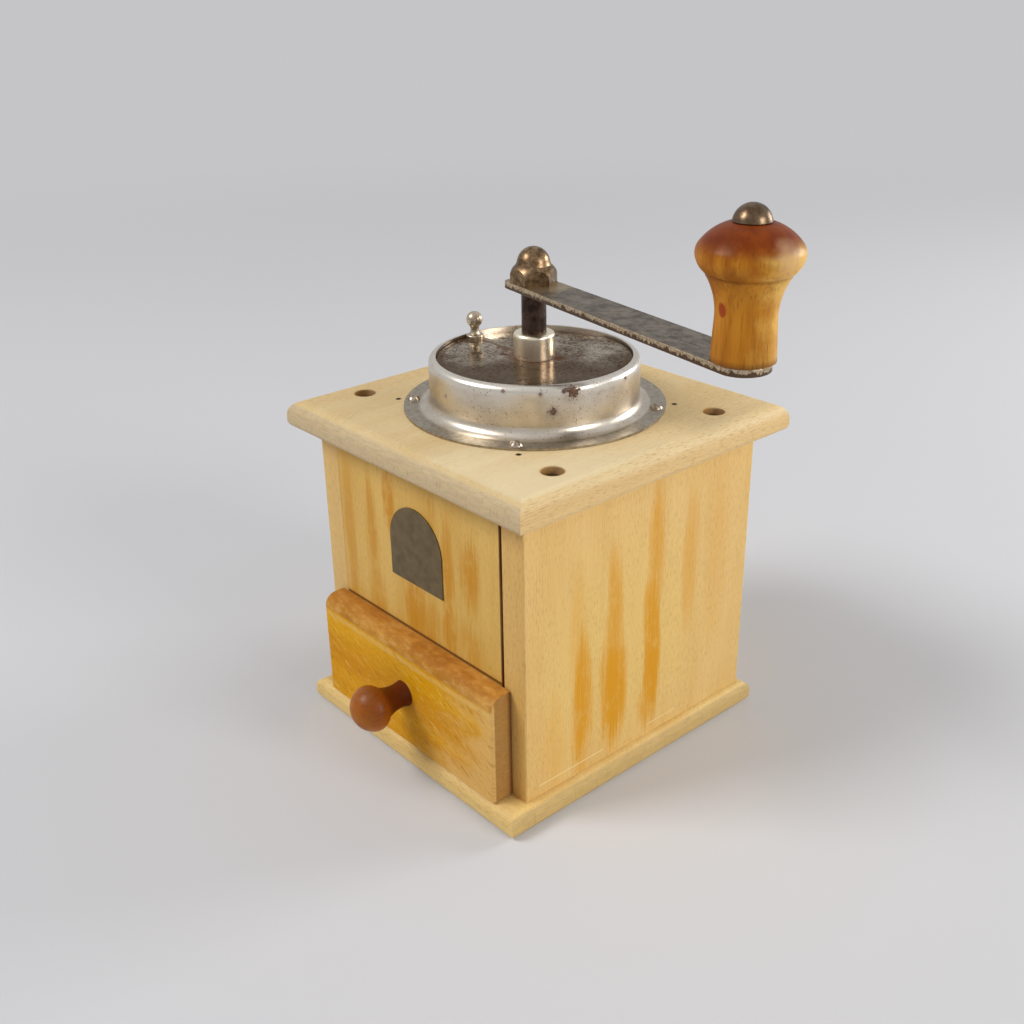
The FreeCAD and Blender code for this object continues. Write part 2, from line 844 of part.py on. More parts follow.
def lower_bridge():
    """The bar under the barrel that guides the shaft's foot and holds the adjusting screw."""
    piece = Piece("lower_bridge", z=leg_base - s.lower_thick)
    bridge_bar(piece, s.lower_half, s.lower_width, s.lower_thick)
    top = s.lower_thick + s.boss_rise
    piece.turned([(0, -s.boss_drop), (s.boss_radius, -s.boss_drop), (s.boss_radius, top), (0, top)])
    piece.drill(s.thread_radius, -s.boss_drop, s.lower_thick, (0, 0))
    piece.drill(shaft_bore, s.lower_thick, top, (0, 0))
    for side in (-1, 1):
        piece.drill(s.machine_shank, 0, s.lower_thick, (leg_screw_x() * side, 0))


def lower_bridge_screws():
    piece = Piece("lower_bridge_screws", z=leg_base)
    crown = cap_radius(s.machine_head, s.machine_head_height)
    head = -s.lower_thick
    tip = s.leg_length
    corners = [(0, head - s.machine_head_height, crown, 1), (s.machine_head, head), (s.machine_shank, head),
               (s.machine_shank, tip - s.machine_shank), (0, tip)]
    for side in (-1, 1):
        piece.turned(corners, (leg_screw_x() * side, 0, 0))


def adjusting_screw():
    """The thumb screw that sets the grind by lifting the shaft."""
    piece = Piece("adjusting_screw", z=boss_base - s.adjust_head_gap)
    stud = s.thread_radius - s.running_gap
    corners = [
        (0, -s.adjust_head_height),
        (s.adjust_head, -s.adjust_head_height),
        (s.adjust_head, 0),
        (stud, 0),
        (stud, s.adjust_stud),
        (s.cup_radius, s.adjust_stud),
        (s.cup_radius, s.adjust_stud - s.cup_depth),
        (0, s.adjust_stud - s.cup_depth),
    ]
    piece.turned(corners)
    rim = s.adjust_head + s.flute_width / 2
    grip = piece.disc("XY_Plane", s.flute_width, (rim, 0, -s.adjust_head_height))
    cut = piece.pocket(grip, s.adjust_head_height, reverse=True)
    piece.repeat(cut, s.flute_count)


def thrust_ball():
    ball = doc.addObject("Part::Sphere", "thrust_ball")
    ball.Label = "thrust_ball"
    bind(ball, "Radius", s.ball_radius)
    bind(ball, "Placement.Base.z", ball_level)


# Crank


def drive_shaft():
    piece = Piece("drive_shaft", z=shaft_base, turn=s.arm_turn)
    shoulder = s.arm_level - shaft_base
    corners = [
        (0, s.cup_depth),
        (s.cup_radius, s.cup_depth),
        (s.cup_radius, 0),
        (s.shaft_radius, 0),
        (s.shaft_radius, shoulder),
        (0, shoulder),
    ]
    piece.turned(corners)
    half = s.square_half
    piece.pad(piece.rectangle((-half, -half), (half, half), shoulder), s.arm_thick)
    stub = piece.disc("XY_Plane", s.stub_radius, (0, 0, shoulder + s.arm_thick))
    piece.pad(stub, s.stub_length)
    pin_level = burr_base + s.cone_height + s.hub_height / 2 - shaft_base
    hole = piece.disc("YZ_Plane", s.burr_pin_radius, (0, pin_level, 0))
    piece.pocket(hole, s.cone_top * 2, middle=True)


def crank_arm():
    piece = Piece("crank_arm", z=s.arm_level, turn=s.arm_turn)
    inner = s.arm_half_inner
    outer = s.arm_half_outer
    end = s.crank_radius + outer
    cut = s.arm_tail_round
    tail = -s.arm_tail
    corners = [
        (tail + cut, -inner),
        (s.crank_radius, -outer, outer, 1),
        (end, 0, outer, 1),
        (s.crank_radius, outer),
        (tail + cut, inner, cut, 1),
        (tail, inner - cut),
        (tail, cut - inner, cut, 1),
    ]
    piece.pad(piece.outline("XY_Plane", corners), s.arm_thick)
    thick = VALUES["arm_thick"]
    piece.ease(s.arm_edge_round, lambda edge: is_level(edge, thick) or is_level(edge, 0))
    half = s.square_half
    piece.pocket(piece.rectangle((-half, -half), (half, half)), s.arm_thick, reverse=True)
    piece.drill(s.pin_radius, 0, s.arm_thick, (s.crank_radius, 0))


def acorn_nut():
    """The hexagon cap nut that clamps the arm."""
    piece = Piece("acorn_nut", z=arm_top, turn=s.arm_turn + s.nut_turn)
    dome = s.nut_height - s.nut_dome_start
    corners = [
        (s.stub_radius, 0),
        (s.nut_corner, 0),
        (s.nut_corner, s.nut_side, s.nut_shoulder_round, 1),
        (s.nut_shoulder_radius, s.nut_shoulder),
        (s.nut_dome_radius, s.nut_dome_start, cap_radius(s.nut_dome_radius, dome), 1),
        (0, s.nut_height),
        (0, s.stub_length),
        (s.stub_radius, s.stub_length),
    ]
    piece.turned(corners)
    sketch = piece.sketch("XY_Plane")
    corner = s.nut_flat / math.cos(math.radians(30))
    angles = [Size(60 * step, str(60 * step)) for step in range(6)]
    add_outline(sketch, [(corner * cosine(angle), corner * sine(angle)) for angle in angles])
    add_circle(sketch, s.nut_corner * 2)
    piece.pocket(sketch, s.nut_height, reverse=True)


def handle_pin():
    """The fixed pin that the handle turns on, peened under the arm and domed on top."""
    piece = Piece("handle_pin", *handle_place(), z=s.arm_level)
    dome_base = s.arm_thick + s.handle_height + s.handle_gap
    crown = cap_radius(s.dome_radius, s.dome_height)
    corners = [
        (0, -s.peen_height),
        (s.peen_radius, -s.peen_height / 2),
        (s.peen_radius, 0),
        (s.pin_radius, 0),
        (s.pin_radius, dome_base),
        (s.dome_radius, dome_base, crown, 1),
        (0, dome_base + s.dome_height),
    ]
    piece.turned(corners)


def handle_place():
    return (s.crank_radius * cosine(s.arm_turn), s.crank_radius * sine(s.arm_turn))


def crank_handle():
    """The turned wooden handle, free to spin on its pin."""
    piece = Piece("crank_handle", *handle_place(), z=arm_top)
    bore = s.pin_radius + s.running_gap
    bead_level = s.handle_neck_level + s.handle_bead_step
    corners = [
        (bore, s.handle_gap),
        (s.handle_foot, s.handle_gap),
        (s.handle_waist, s.handle_waist_level, s.handle_flare, -1),
        (s.handle_neck, s.handle_neck_level),
        (s.handle_neck, bead_level),
        (s.handle_bead, bead_level, s.handle_under_round, 1),
        (s.handle_crown, s.handle_crown_level, s.handle_side_round, 1),
        (s.handle_brow, s.handle_brow_level, s.handle_top_round, 1),
        (s.handle_top, s.handle_height),
        (bore, s.handle_height),
    ]
    piece.turned(corners)


# Drawer


def drawer_front():
    """The drawer's front board, which overlaps the case and has a rounded top edge."""
    piece = Piece("drawer_front", y=-(s.case_half + s.drawer_front_gap), z=drawer_front_base)
    thick = s.drawer_front_thick
    tall = s.drawer_front_height
    corners = [
        (0, 0),
        (0, tall),
        (s.drawer_brow - thick, tall, s.drawer_brow, 1),
        (-thick, tall - s.drawer_brow),
        (-thick, 0),
    ]
    piece.pad(piece.outline("YZ_Plane", corners), (s.case_half - s.drawer_front_margin) * 2, middle=True)
    front = -VALUES["drawer_front_thick"]
    piece.ease(s.drawer_edge_round, lambda edge: is_upright(edge) and edge.BoundBox.YMin < front + 1e-4)
    socket = piece.disc("XZ_Plane", s.knob_tenon, (0, s.knob_level, thick - s.knob_tenon_depth))
    piece.pocket(socket, s.knob_tenon_depth + 1, reverse=True)


def drawer_side(name, side):
    piece = Piece(name, x=drawer_box_half * side, y=-(s.case_half + s.drawer_front_gap), z=drawer_base)
    inner = s.drawer_side_thick * (-side)
    piece.pad(piece.rectangle((0, 0), (inner, s.drawer_length)), s.drawer_side_height)


def drawer_back():
    inner = drawer_box_half - s.drawer_side_thick
    back = s.drawer_length - s.case_half - s.drawer_front_gap
    piece = Piece("drawer_back", y=back, z=drawer_base)
    piece.pad(piece.rectangle((-inner, -s.drawer_side_thick), (inner, 0)), s.drawer_side_height)


def drawer_bottom():
    inner = drawer_box_half - s.drawer_side_thick
    level = drawer_base + s.drawer_bottom_level
    piece = Piece("drawer_bottom", y=-(s.case_half + s.drawer_front_gap), z=level)
    length = s.drawer_length - s.drawer_side_thick
    piece.pad(piece.rectangle((-inner, 0), (inner, length)), s.drawer_bottom_thick)


def drawer_knob():
    """The turned knob, its tenon glued into the front board."""
    piece = Piece("drawer_knob", y=-drawer_face, z=drawer_front_base + s.knob_level)
    corners = [
        (0, s.knob_tenon_depth),
        (0, -s.knob_reach, cap_radius(s.knob_head, s.knob_reach - s.knob_head_reach), 1),
        (s.knob_head, -s.knob_head_reach, s.knob_back_round, 1),
        (s.knob_neck, -s.knob_neck_reach, s.knob_neck_round, -1),
        (s.knob_foot, 0),
        (s.knob_tenon, 0),
        (s.knob_tenon, s.knob_tenon_depth),
    ]
    sketch = piece.outline("XY_Plane", corners)
    piece.feature("Revolution", sketch, ReferenceAxis=(sketch, ["V_Axis"]), Angle=360)
    head = VALUES["knob_head"]
    piece.ease(s.knob_head_ease, lambda edge: is_circle(edge, head))


def build():
    base_board()
    top_board()
    side_panel("side_panel_left", -1)
    side_panel("side_panel_right", 1)
    front_panel()
    back_panel()
    badge_plate()
    top_board_screws()
    base_board_screws()
    bean_housing()
    flange_places = ring_places(flange_screw_ring, FLANGE_ANGLES)
    pan_screws("flange_screws", board_top + s.sheet, flange_places, s.small_shank, s.pan_radius,
               s.pan_height, s.small_depth)
    hopper_cover()
    lid_shutter()
    lid_knob()
    bearing_collar()
    upper_bridge()
    upper_bridge_screws()
    burr_housing()
    seat_places = ring_places(s.seat_screw_ring, SEAT_SCREW_ANGLES)
    pan_screws("burr_housing_screws", seat_top, seat_places, s.small_shank, s.pan_radius,
               s.pan_height, s.small_depth)
    outer_burr()
    inner_burr()
    burr_pin()
    lower_bridge()
    lower_bridge_screws()
    adjusting_screw()
    thrust_ball()
    drive_shaft()
    crank_arm()
    acorn_nut()
    handle_pin()
    crank_handle()
    drawer_front()
    drawer_side("drawer_side_left", -1)
    drawer_side("drawer_side_right", 1)
    drawer_back()
    drawer_bottom()
    drawer_knob()
    doc.recompute()


def check(pieces):
    """Stop before anything is written if a feature failed or a piece is not a sound solid."""
    for item in doc.Objects:
        if "Invalid" in item.State or "Error" in item.State:
            raise RuntimeError("%s of %s failed" % (item.Name, item.InList[0].Label if item.InList else ""))
    for piece in pieces:
        shape = piece.Shape
        if shape.isNull() or not shape.isValid() or not shape.Solids:
            raise RuntimeError("%s has no sound solid" % piece.Label)


def write(pieces):
    os.makedirs("parts", exist_ok=True)
    for piece in pieces:
        piece.Shape.exportStep("parts/%s.step" % piece.Label)
        print("%-22s %2d solid  %10.1f mm3" % (piece.Label, len(piece.Shape.Solids), piece.Shape.Volume))


build()
finished = [item for item in doc.Objects if item.TypeId in ("PartDesign::Body", "Part::Sphere")]
check(finished)
write(finished)
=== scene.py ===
import math
import bpy
from mathutils import Matrix, Vector


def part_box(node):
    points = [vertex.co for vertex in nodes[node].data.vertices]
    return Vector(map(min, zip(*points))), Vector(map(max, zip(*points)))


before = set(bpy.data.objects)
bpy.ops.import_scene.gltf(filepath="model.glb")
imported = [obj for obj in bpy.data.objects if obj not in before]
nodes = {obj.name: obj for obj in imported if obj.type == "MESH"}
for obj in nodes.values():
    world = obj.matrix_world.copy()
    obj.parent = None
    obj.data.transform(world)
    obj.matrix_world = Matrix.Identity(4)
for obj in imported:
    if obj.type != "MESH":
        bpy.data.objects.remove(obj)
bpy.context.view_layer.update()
print("loaded", len(nodes), "parts of the mill")


class Tone:  # a number or colour inside a mixer, so that sums are written as sums
    def __init__(self, mixer, socket):
        self.mixer = mixer
        self.socket = socket

    def sum(self, operation, *values):
        return self.mixer.node("ShaderNodeMath", {"operation": operation}, dict(enumerate(values)))

    def __add__(self, other):
        return self.sum("ADD", self, other)

    def __sub__(self, other):
        return self.sum("SUBTRACT", self, other)

    def __rsub__(self, other):
        return self.sum("SUBTRACT", other, self)

    def __mul__(self, other):
        return self.sum("MULTIPLY", self, other)

    def __pow__(self, other):
        return self.sum("POWER", self, other)

    def __neg__(self):
        return self * -1

    __radd__ = __add__
    __rmul__ = __mul__

    def most(self, other):
        return self.sum("MAXIMUM", self, other)

    def least(self, other):
        return self.sum("MINIMUM", self, other)

    def size(self):
        return self.sum("ABSOLUTE", self)

    def rise(self, low, high):  # 0 below low, 1 above high, smooth between
        settings = {"interpolation_type": "SMOOTHSTEP"}
        return self.mixer.node("ShaderNodeMapRange", settings, {0: self, 1: low, 2: high, 3: 0.0, 4: 1.0})

    def fall(self, low, high):
        return 1 - self.rise(low, high)


class Mixer:  # the nodes of a material or of the world, and the one way to add to them
    def __init__(self, owner):
        owner.use_nodes = True
        self.tree = owner.node_tree
        self.tree.nodes.clear()

    def feed(self, socket, value):
        if isinstance(value, Tone):
            self.tree.links.new(value.socket, socket)
        elif isinstance(value, (tuple, list)) and socket.type == "RGBA":
            socket.default_value = (*value[:3], 1.0)
        else:
            socket.default_value = value

    def node(self, kind, settings=None, inputs=None, output=0):
        made = self.tree.nodes.new(kind)
        for key, value in (settings or {}).items():
            setattr(made, key, value)
        for key, value in (inputs or {}).items():
            self.feed(made.inputs[key], value)
        return Tone(self, made.outputs[output]) if made.outputs else None

    def parts(self, point):
        made = self.tree.nodes.new("ShaderNodeSeparateXYZ")
        self.tree.links.new(point.socket, made.inputs[0])
        return [Tone(self, socket) for socket in made.outputs]

    def mix(self, amount, first, second, how="MIX"):
        settings = {"data_type": "RGBA", "blend_type": how}
        return self.node("ShaderNodeMix", settings, {0: amount, 6: first, 7: second}, output=2)

    def backdropRays(self):  # 1 where the camera, a mirror or glass looks, 0 for light on the mill
        camera, mirror, glass = [self.node("ShaderNodeLightPath", output="Is " + kind + " Ray")
                                 for kind in ("Camera", "Glossy", "Transmission")]
        return camera.most(mirror).most(glass)


class Finish(Mixer):  # one material with a surface
    def __init__(self, name):
        self.material = bpy.data.materials.new(name)
        super().__init__(self.material)
        self.surface = self.tree.nodes.new("ShaderNodeBsdfPrincipled")
        self.output = self.tree.nodes.new("ShaderNodeOutputMaterial")
        self.tree.links.new(self.surface.outputs[0], self.output.inputs["Surface"])

    def set(self, **values):  # the surface's own sockets, written baseColor for Base Color
        for key, value in values.items():
            words = "".join(" " + letter if letter.isupper() else letter for letter in key)
            self.feed(self.surface.inputs[words.title().replace("Ior", "IOR")], value)

    def millimetres(self):  # the point's place on the mill, in millimetres
        point = self.node("ShaderNodeTexCoord", output="Object")
        return self.node("ShaderNodeVectorMath", {"operation": "SCALE"}, {0: point, "Scale": 1000.0})

    def stretch(self, point, scales):
        return self.node("ShaderNodeVectorMath", {"operation": "MULTIPLY"}, {0: point, 1: scales})

    def shift(self, point, step):
        return self.node("ShaderNodeVectorMath", {"operation": "ADD"}, {0: point, 1: step})

    def distance(self, point, place):
        settings = {"operation": "DISTANCE"}
        return self.node("ShaderNodeVectorMath", settings, {0: point, 1: place}, output="Value")

    def noise(self, point, scale, detail, roughness=0.5, distortion=0.0, moved=None):
        if isinstance(scale, tuple):  # one scale along each axis
            point, scale = self.stretch(point, scale), 1.0
        if moved:  # another part of the same noise
            point = self.shift(point, moved)
        inputs = {"Vector": point, "Scale": scale, "Detail": detail, "Roughness": roughness,
                  "Distortion": distortion}
        return self.node("ShaderNodeTexNoise", None, inputs)

    def facing(self):  # the surface's own direction, not smoothed
        return self.parts(self.node("ShaderNodeNewGeometry", output="Normal"))

    def bump(self, height, distance, strength):
        inputs = {"Height": height, "Distance": distance, "Strength": strength}
        return self.node("ShaderNodeBump", None, inputs)


def dress(finish, *names):
    for name in names:
        slots = nodes[name].data.materials
        slots.clear()
        slots.append(finish.material)


def ends(name, axis):  # where a part begins and stops along one axis, in millimetres
    return [corner["xyz".index(axis)] * 1000 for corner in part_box(name)]


def pick(places, axis):
    return places["xyz".index(axis)]


def alongGrain(grain, across, along):  # noise scales that draw a pattern out along the grain
    return tuple(along if axis == grain else across for axis in "xyz")


def growthBands(finish, point, look):
    return finish.noise(point, alongGrain(look["grain"], *look["bandScale"]), 3.0, 0.55)


def beechFinish(name, look, wear=None):
    finish = Finish(name)
    point = finish.millimetres()
    places = finish.parts(point)
    grain = look["grain"]
    bands = growthBands(finish, point, look)
    fibres = finish.noise(point, alongGrain(grain, *look["fibreScale"]), 4.0, 0.6)
    flecks = finish.noise(point, alongGrain(grain, *look["fleckScale"]), 2.0)
    crowded = finish.noise(point, alongGrain(grain, *look["crowdScale"]), 2.0)
    colour = finish.mix(bands.rise(0.3, 0.7), look["light"], look["dark"])
    colour = finish.mix((fibres - 0.5).size() * look["fibre"], colour, look["pore"])
    if "glow" in look:  # the middle of the panel is yellower, its near lower corner greyer
        place, reach, tone = look["glow"]
        glowing = (finish.distance(point, place) + (bands - 0.5) * 40).fall(*reach)
        colour = finish.mix(glowing * 0.6, colour, tone)
    fleckMask = flecks.rise(0.52, 0.67) * crowded.rise(0.15, 0.6) * look["fleck"]
    colour = finish.mix(fleckMask, colour, look["pore"])
    colour = stain(finish, colour, point, places, fibres, look)
    colour = endGrain(finish, colour, point, look)
    if "edgeTone" in look:  # a long edge took more varnish than the face
        axis, sign, tone = look["edgeTone"]
        colour = finish.mix((pick(finish.facing(), axis) * sign).rise(0.75, 0.95), colour, tone, "MULTIPLY")
    dirt = finish.noise(point, (0.12, 0.12, 0.12), 4.0, 0.7)
    colour = finish.mix(dirt.rise(0.6, 0.8) * look["dirt"], colour, look["dirtTone"])
    for line in look["lines"]:
        colour = lineOn(finish, colour, places, fibres, line)
    if wear:
        colour = wear(finish, colour, point, places, look)
    finish.set(baseColor=colour, roughness=look["rough"] + (fibres - 0.5) * 0.2,
               specularIorLevel=look["gloss"],
               normal=finish.bump(fibres * 0.6 + flecks.rise(0.6, 0.75) * -0.5, look["bump"], 0.5))
    return finish


def endGrain(finish, colour, point, look):  # sawn ends are darker, mottled and finely cracked
    end = pick(finish.facing(), look["grain"]).size().rise(0.55, 0.8) * 0.8
    pores = finish.noise(point, look["endPores"], 4.0, 0.65)
    clean = finish.mix(pores.rise(0.35, 0.65), look["end"], [part * 0.82 for part in look["end"]])
    cracks = finish.noise(point, look["endCracks"], 2.0)
    return finish.mix(end, colour, finish.mix(cracks.rise(0.60, 0.72) * 0.45, clean, look["endCrackTone"]))


def lineOn(finish, colour, places, fibres, line):  # a thin level or upright line; on the front panel these are painted shade in the seam and in the gap above the drawer front, on the right panel pale lines near its foot
    axes, level, low, high, thickness, tone = line
    near = (pick(places, axes[0]) - level).size().fall(thickness * 0.5, thickness)
    run = pick(places, axes[1])
    reach = run.rise(low, low + 1.5) * run.fall(high - 1.5, high)
    return finish.mix(near * reach * (fibres * 0.8 + 0.5), colour, tone)


def stain(finish, colour, point, places, fibres, look):  # amber oil that soaked in along the grain
    if not look["streaks"]:
        return colour
    wobble = finish.noise(point, (0.35, 0.35, 0.035), 5.0, 0.7) - 0.5
    ragged = finish.noise(point, (0.9, 0.9, 0.02), 4.0, 0.65) - 0.5
    blotch = finish.noise(point, (0.3, 0.3, 0.16), 4.0, 0.65, moved=(3.0, 8.0, 2.0))
    side = pick(places, look["across"]) + wobble * look["wobble"]
    height = pick(places, "z") + ragged * look["ragged"]
    total = None
    for centre, level, halfWidth, halfLength, strength in look["streaks"]:
        sideways = (side - centre) * (1 / halfWidth)
        upwards = (height - level) * (1 / halfLength)
        mask = (sideways * sideways + upwards * upwards).fall(0.0, 2.0) * strength
        total = mask if total is None else total.most(mask)
    total = total * (fibres * 1.5 + 0.28) * (1 - blotch.fall(0.36, 0.50) * look["mottled"])
    return finish.mix(total.least(1.0), colour, look["amber"])


# Scales are across and along the grain, places and sizes are in millimetres.
# A streak is its place across, its height, half its width, half its length and its strength.
# A line is the axis it is level on and the one it runs along, its level, two ends, thickness and colour.
palePanel = dict(
    grain="z", across="x", light=(0.75, 0.50, 0.185), dark=(0.70, 0.44, 0.14), pore=(0.38, 0.19, 0.045),
    amber=(0.62, 0.28, 0.012), fibre=0.9, fleck=0.42, mottled=0.35, wobble=7, ragged=34,
    bandScale=(0.07, 0.006), fibreScale=(1.6, 0.04), fleckScale=(3.6, 0.36), crowdScale=(0.12, 0.03),
    rough=0.48, gloss=0.3, bump=0.00006,
    end=(0.56, 0.38, 0.19), endPores=(0.22, 0.9, 1.5),
    endCracks=(2.0, 2.0, 0.35), endCrackTone=(0.24, 0.14, 0.06),
    dirt=0.12, dirtTone=(0.25, 0.16, 0.08), lines=(), streaks=())

panels = {
    "front_panel": dict(
        palePanel, light=(0.74, 0.47, 0.12), dark=(0.66, 0.385, 0.075), amber=(0.57, 0.245, 0.006),
        fibre=1.0, mottled=0.4,
        # The upright line is painted shade in the seam with the right panel, the level line painted shade in
        # the gap above the drawer front.
        lines=(("xz", 43.9, 40, 120, 0.55, (0.13, 0.035, 0.012)),
               ("zx", 50.3, -49, 49, 0.75, (0.20, 0.06, 0.012))),
        streaks=((-14.5, 95, 2.6, 13, 0.95), (-26, 80, 3.2, 19, 0.75), (-25, 56, 4.6, 14, 0.6),
                 (17.5, 80, 3.0, 20, 0.9), (29, 84, 4.6, 12, 0.85), (-2, 60, 6, 11, 1.0), (7, 56, 4, 8, 0.6),
                 (17, 60, 4.2, 13, 0.9), (9, 97, 4, 6, 0.5), (28, 58, 5, 8, 0.6), (-40, 78, 3, 30, 0.6))),
    "side_panel_right": dict(
        palePanel, across="y", amber=(0.63, 0.275, 0.001), fibre=1.2, fleck=0.45, mottled=0.25,
        edgeTone=("y", -1, (0.98, 0.91, 0.78)), glow=((55.0, -12.0, 50.0), (15, 55), (0.72, 0.49, 0.14)),
        lines=(("zy", 12.6, -50, -18, 0.3, (0.80, 0.61, 0.28)),
               ("zy", 12.5, 3, 20, 0.25, (0.80, 0.61, 0.28))),
        streaks=((-29.5, 36, 4.2, 27, 0.95), (-31, 62, 4, 26, 0.3), (-14.2, 36, 6.0, 22, 1.1),
                 (-14.6, 64, 3.6, 24, 0.75), (5, 36, 4.2, 20, 1.05), (3.5, 22, 5, 8, 0.7),
                 (4.4, 58, 3.4, 17, 0.95), (5.5, 84, 3.6, 26, 0.65), (23, 72, 4, 24, 0.45),
                 (-42, 26, 5, 18, 0.3), (38, 70, 5, 34, 0.25))),
    "side_panel_left": dict(
        palePanel, across="y", amber=(0.63, 0.295, 0.002), fibre=0.75, mottled=0.3,
        streaks=((-34, 30, 5.0, 22, 0.9), (-33, 66, 3.4, 26, 0.6), (-12, 38, 4.4, 26, 1.0),
                 (-11, 74, 3.2, 28, 0.6), (9, 60, 4, 34, 0.5), (27, 34, 5.4, 24, 1.0),
                 (25, 76, 3.6, 22, 0.55), (42, 58, 4, 38, 0.3))),
    "back_panel": dict(
        palePanel, amber=(0.63, 0.295, 0.002), fibre=0.75, mottled=0.3,
        streaks=((-36, 50, 4, 34, 0.45), (-22, 34, 5.2, 24, 0.95), (-20, 72, 3.4, 26, 0.6),
                 (0, 58, 3.6, 36, 0.5), (15, 32, 5, 22, 1.0), (16, 70, 3.2, 26, 0.7),
                 (34, 48, 4.4, 30, 0.6))),
}
for name, look in panels.items():
    dress(beechFinish("panel " + name, look), name)

topBoard = dict(
    palePanel, grain="y", light=(0.78, 0.60, 0.32), dark=(0.73, 0.53, 0.25), end=(0.60, 0.455, 0.27),
    rough=0.5, dirt=0.1, edgeTone=("x", 1, (0.92, 0.84, 0.72)),
    paleCorner=(60.0, -60.0), paleReach=(20, 75), pale=(0.86, 0.72, 0.47),
    screwsAcross=49.8, screwsAlong=38.0, screwRing=(0.55, 0.33, 0.10), screwHoleOilAndShade=(0.34, 0.15, 0.035),
    oldHolesOut=49.0, oldHoleAngles=(-137.8, -48.3, 43.7), oldHoleShade=(0.05, 0.025, 0.012))


def topBoardMarksAndShade(finish, colour, point, places, look):  # a pale corner, old oil in and around the screw holes with painted shade on their walls, and painted shade in the old pilot holes
    x, y, z = places
    top = ends("top_board", "z")[1]
    bands = growthBands(finish, point, look)
    pale = (finish.distance(point, (*look["paleCorner"], top)) + (bands - 0.5) * 50).fall(*look["paleReach"])
    pale = pale * pick(finish.facing(), "z").rise(0.85, 0.98)
    colour = finish.mix(pale * 0.55, colour, look["pale"])
    sideways = x.size() - look["screwsAcross"]
    lengthways = y.size() - look["screwsAlong"]
    away = sideways * sideways + lengthways * lengthways
    ring = away.fall(15.2, 23.0) * z.rise(top - 0.4, top - 0.1)
    colour = finish.mix(ring * 0.4, colour, look["screwRing"])
    # the screw holes' walls are darker brown: old oil, and painted shade inside the hole
    inside = away.fall(15.0, 17.0) * z.fall(top - 0.6, top - 0.05)
    colour = finish.mix(inside * 0.7, colour, look["screwHoleOilAndShade"])
    # the old pilot holes are painted nearly black: painted shade inside them
    for angle in look["oldHoleAngles"]:
        sideways = x - look["oldHolesOut"] * math.cos(math.radians(angle))
        lengthways = y - look["oldHolesOut"] * math.sin(math.radians(angle))
        near = (sideways * sideways + lengthways * lengthways).fall(0.6, 1.6)
        colour = finish.mix(near * 0.9, colour, look["oldHoleShade"])
    return colour


dress(beechFinish("board top_board", topBoard, topBoardMarksAndShade), "top_board")

baseBoard = dict(
    palePanel, grain="x", light=(0.82, 0.60, 0.24), dark=(0.75, 0.50, 0.17), end=(0.56, 0.38, 0.14),
    fleck=0.45, rough=0.5, dirt=0.4, endPores=(0.9, 0.22, 1.5), endCracks=(1.2, 2.0, 0.12))
dress(beechFinish("board base_board", baseBoard), "base_board")

drawerBox = dict(palePanel, grain="y", light=(0.70, 0.53, 0.32), dark=(0.64, 0.46, 0.26), rough=0.6)
dress(beechFinish("drawer box", drawerBox), "drawer_side_left", "drawer_side_right", "drawer_bottom")
dress(beechFinish("drawer back", dict(drawerBox, grain="x")), "drawer_back")
print("case boards are finished")

drawerFront = dict(
    palePanel, grain="x", light=(0.77, 0.375, 0.008), dark=(0.62, 0.25, 0.003), pore=(0.34, 0.14, 0.008),
    fibre=0.7, fleck=0.5, rough=0.45, gloss=0.06, end=(0.36, 0.195, 0.075), endPores=(1.0, 0.5, 0.9),
    worn=(0.73, 0.45, 0.15), band=((0.60, 0.30, 0.07), (0.40, 0.16, 0.03)), grime=(0.40, 0.15, 0.02),
    rubbedAndSheen=(0.74, 0.46, 0.15), redder=(0.30, 0.085, 0.008), faceLine=(0.76, 0.53, 0.19),
    # The dark tone for the back of its ends is painted shade in the gap beside the case.
    scrapeDark=(0.42, 0.18, 0.02), scrapePale=(0.80, 0.54, 0.18), backEndShade=(0.12, 0.035, 0.012),
    bandDown=(5.6, 4.0), redderDown=2.5, lineDown=6.6, scrapeDown=(6.5, 4.5), faceBehind=(1.7, 1.0))


